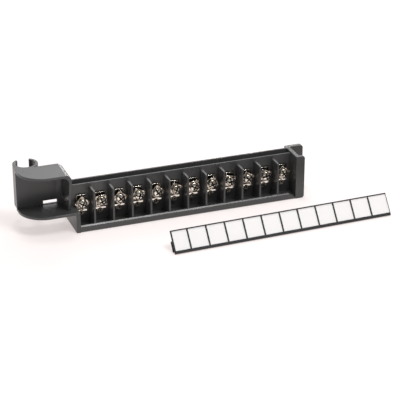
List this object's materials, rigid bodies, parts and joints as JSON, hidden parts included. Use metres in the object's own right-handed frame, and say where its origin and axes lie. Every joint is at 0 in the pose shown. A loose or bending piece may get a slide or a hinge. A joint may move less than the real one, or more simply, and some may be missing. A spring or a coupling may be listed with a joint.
{
  "type": "field wiring arm",
  "caption": "Moulded wiring arm with a row of screw terminals, a wire scoop and a C-shaped pivot hook at one end, a finger grip at the other and a loose label strip.",
  "frame": {"origin": "on the axis of the pivot hook, halfway up the hook", "axes": "+X along the arm from the hook to the grip, -Y the way the terminals face, +Z along the hook's axis, away from the side the arm lies on"},
  "size_m": [0.2341, 0.0857, 0.0412],
  "materials": {
    "body_plastic": "fine matt moulded charcoal",
    "strip_plastic": "matt moulded black",
    "card": "matt white writing card",
    "screw_metal": "bright nickel plated steel",
    "clamp_metal": "nickel plated steel sheet",
    "contact_metal": "nickel plated brass sheet",
    "eyelet_metal": "nickel plated brass, drawn"
  },
  "bodies": {
    "arm": {"housing": "body_plastic", "contact_01": "contact_metal", "contact_02": "contact_metal", "contact_03": "contact_metal", "contact_04": "contact_metal", "contact_05": "contact_metal", "contact_06": "contact_metal", "contact_07": "contact_metal", "contact_08": "contact_metal", "contact_09": "contact_metal", "contact_10": "contact_metal", "contact_11": "contact_metal", "contact_12": "contact_metal", "eyelets": "eyelet_metal", "label_carrier": "strip_plastic", "label_card": "card"},
    "clamp_01": {"clamp_plate_01": "clamp_metal"},
    "screw_01": {"terminal_screw_01": "screw_metal"},
    "clamp_02": {"clamp_plate_02": "clamp_metal"},
    "screw_02": {"terminal_screw_02": "screw_metal"},
    "clamp_03": {"clamp_plate_03": "clamp_metal"},
    "screw_03": {"terminal_screw_03": "screw_metal"},
    "clamp_04": {"clamp_plate_04": "clamp_metal"},
    "screw_04": {"terminal_screw_04": "screw_metal"},
    "clamp_05": {"clamp_plate_05": "clamp_metal"},
    "screw_05": {"terminal_screw_05": "screw_metal"},
    "clamp_06": {"clamp_plate_06": "clamp_metal"},
    "screw_06": {"terminal_screw_06": "screw_metal"},
    "clamp_07": {"clamp_plate_07": "clamp_metal"},
    "screw_07": {"terminal_screw_07": "screw_metal"},
    "clamp_08": {"clamp_plate_08": "clamp_metal"},
    "screw_08": {"terminal_screw_08": "screw_metal"},
    "clamp_09": {"clamp_plate_09": "clamp_metal"},
    "screw_09": {"terminal_screw_09": "screw_metal"},
    "clamp_10": {"clamp_plate_10": "clamp_metal"},
    "screw_10": {"terminal_screw_10": "screw_metal"},
    "clamp_11": {"clamp_plate_11": "clamp_metal"},
    "screw_11": {"terminal_screw_11": "screw_metal"},
    "clamp_12": {"clamp_plate_12": "clamp_metal"},
    "screw_12": {"terminal_screw_12": "screw_metal"}
  },
  "joints": [
    {"name": "clamp_slide_01", "type": "slide", "parent": "arm", "child": "clamp_01", "axis": [0, -1, 0], "range_m": [-0.0007, 0.002]},
    {"name": "screw_turn_01", "type": "hinge", "parent": "clamp_01", "child": "screw_01", "pos_m": [0.0312, -0.0209, -0.01005], "axis": [0, -1, 0], "range_deg": [-318, 908]},
    {"name": "clamp_slide_02", "type": "slide", "parent": "arm", "child": "clamp_02", "axis": [0, -1, 0], "range_m": [-0.0007, 0.002]},
    {"name": "screw_turn_02", "type": "hinge", "parent": "clamp_02", "child": "screw_02", "pos_m": [0.0439, -0.0209, -0.01005], "axis": [0, -1, 0], "range_deg": [-318, 908]},
    {"name": "clamp_slide_03", "type": "slide", "parent": "arm", "child": "clamp_03", "axis": [0, -1, 0], "range_m": [-0.0007, 0.002]},
    {"name": "screw_turn_03", "type": "hinge", "parent": "clamp_03", "child": "screw_03", "pos_m": [0.0566, -0.0209, -0.01005], "axis": [0, -1, 0], "range_deg": [-318, 908]},
    {"name": "clamp_slide_04", "type": "slide", "parent": "arm", "child": "clamp_04", "axis": [0, -1, 0], "range_m": [-0.0007, 0.002]},
    {"name": "screw_turn_04", "type": "hinge", "parent": "clamp_04", "child": "screw_04", "pos_m": [0.0693, -0.0209, -0.01005], "axis": [0, -1, 0], "range_deg": [-318, 908]},
    {"name": "clamp_slide_05", "type": "slide", "parent": "arm", "child": "clamp_05", "axis": [0, -1, 0], "range_m": [-0.0007, 0.002]},
    {"name": "screw_turn_05", "type": "hinge", "parent": "clamp_05", "child": "screw_05", "pos_m": [0.082, -0.0209, -0.01005], "axis": [0, -1, 0], "range_deg": [-318, 908]},
    {"name": "clamp_slide_06", "type": "slide", "parent": "arm", "child": "clamp_06", "axis": [0, -1, 0], "range_m": [-0.0007, 0.002]},
    {"name": "screw_turn_06", "type": "hinge", "parent": "clamp_06", "child": "screw_06", "pos_m": [0.0947, -0.0209, -0.01005], "axis": [0, -1, 0], "range_deg": [-318, 908]},
    {"name": "clamp_slide_07", "type": "slide", "parent": "arm", "child": "clamp_07", "axis": [0, -1, 0], "range_m": [-0.0007, 0.002]},
    {"name": "screw_turn_07", "type": "hinge", "parent": "clamp_07", "child": "screw_07", "pos_m": [0.1074, -0.0209, -0.01005], "axis": [0, -1, 0], "range_deg": [-318, 908]},
    {"name": "clamp_slide_08", "type": "slide", "parent": "arm", "child": "clamp_08", "axis": [0, -1, 0], "range_m": [-0.0007, 0.002]},
    {"name": "screw_turn_08", "type": "hinge", "parent": "clamp_08", "child": "screw_08", "pos_m": [0.1201, -0.0209, -0.01005], "axis": [0, -1, 0], "range_deg": [-318, 908]},
    {"name": "clamp_slide_09", "type": "slide", "parent": "arm", "child": "clamp_09", "axis": [0, -1, 0], "range_m": [-0.0007, 0.002]},
    {"name": "screw_turn_09", "type": "hinge", "parent": "clamp_09", "child": "screw_09", "pos_m": [0.1328, -0.0209, -0.01005], "axis": [0, -1, 0], "range_deg": [-318, 908]},
    {"name": "clamp_slide_10", "type": "slide", "parent": "arm", "child": "clamp_10", "axis": [0, -1, 0], "range_m": [-0.0007, 0.002]},
    {"name": "screw_turn_10", "type": "hinge", "parent": "clamp_10", "child": "screw_10", "pos_m": [0.1455, -0.0209, -0.01005], "axis": [0, -1, 0], "range_deg": [-318, 908]},
    {"name": "clamp_slide_11", "type": "slide", "parent": "arm", "child": "clamp_11", "axis": [0, -1, 0], "range_m": [-0.0007, 0.002]},
    {"name": "screw_turn_11", "type": "hinge", "parent": "clamp_11", "child": "screw_11", "pos_m": [0.1582, -0.0209, -0.01005], "axis": [0, -1, 0], "range_deg": [-318, 908]},
    {"name": "clamp_slide_12", "type": "slide", "parent": "arm", "child": "clamp_12", "axis": [0, -1, 0], "range_m": [-0.0007, 0.002]},
    {"name": "screw_turn_12", "type": "hinge", "parent": "clamp_12", "child": "screw_12", "pos_m": [0.1709, -0.0209, -0.01005], "axis": [0, -1, 0], "range_deg": [-318, 908]}
  ],
  "couplings": [
    {"joint": "screw_turn_01", "follows": "clamp_slide_01", "rad_per_m": 7913.3},
    {"joint": "screw_turn_02", "follows": "clamp_slide_02", "rad_per_m": 7913.3},
    {"joint": "screw_turn_03", "follows": "clamp_slide_03", "rad_per_m": 7913.3},
    {"joint": "screw_turn_04", "follows": "clamp_slide_04", "rad_per_m": 7913.3},
    {"joint": "screw_turn_05", "follows": "clamp_slide_05", "rad_per_m": 7913.3},
    {"joint": "screw_turn_06", "follows": "clamp_slide_06", "rad_per_m": 7913.3},
    {"joint": "screw_turn_07", "follows": "clamp_slide_07", "rad_per_m": 7913.3},
    {"joint": "screw_turn_08", "follows": "clamp_slide_08", "rad_per_m": 7913.3},
    {"joint": "screw_turn_09", "follows": "clamp_slide_09", "rad_per_m": 7913.3},
    {"joint": "screw_turn_10", "follows": "clamp_slide_10", "rad_per_m": 7913.3},
    {"joint": "screw_turn_11", "follows": "clamp_slide_11", "rad_per_m": 7913.3},
    {"joint": "screw_turn_12", "follows": "clamp_slide_12", "rad_per_m": 7913.3}
  ]
}
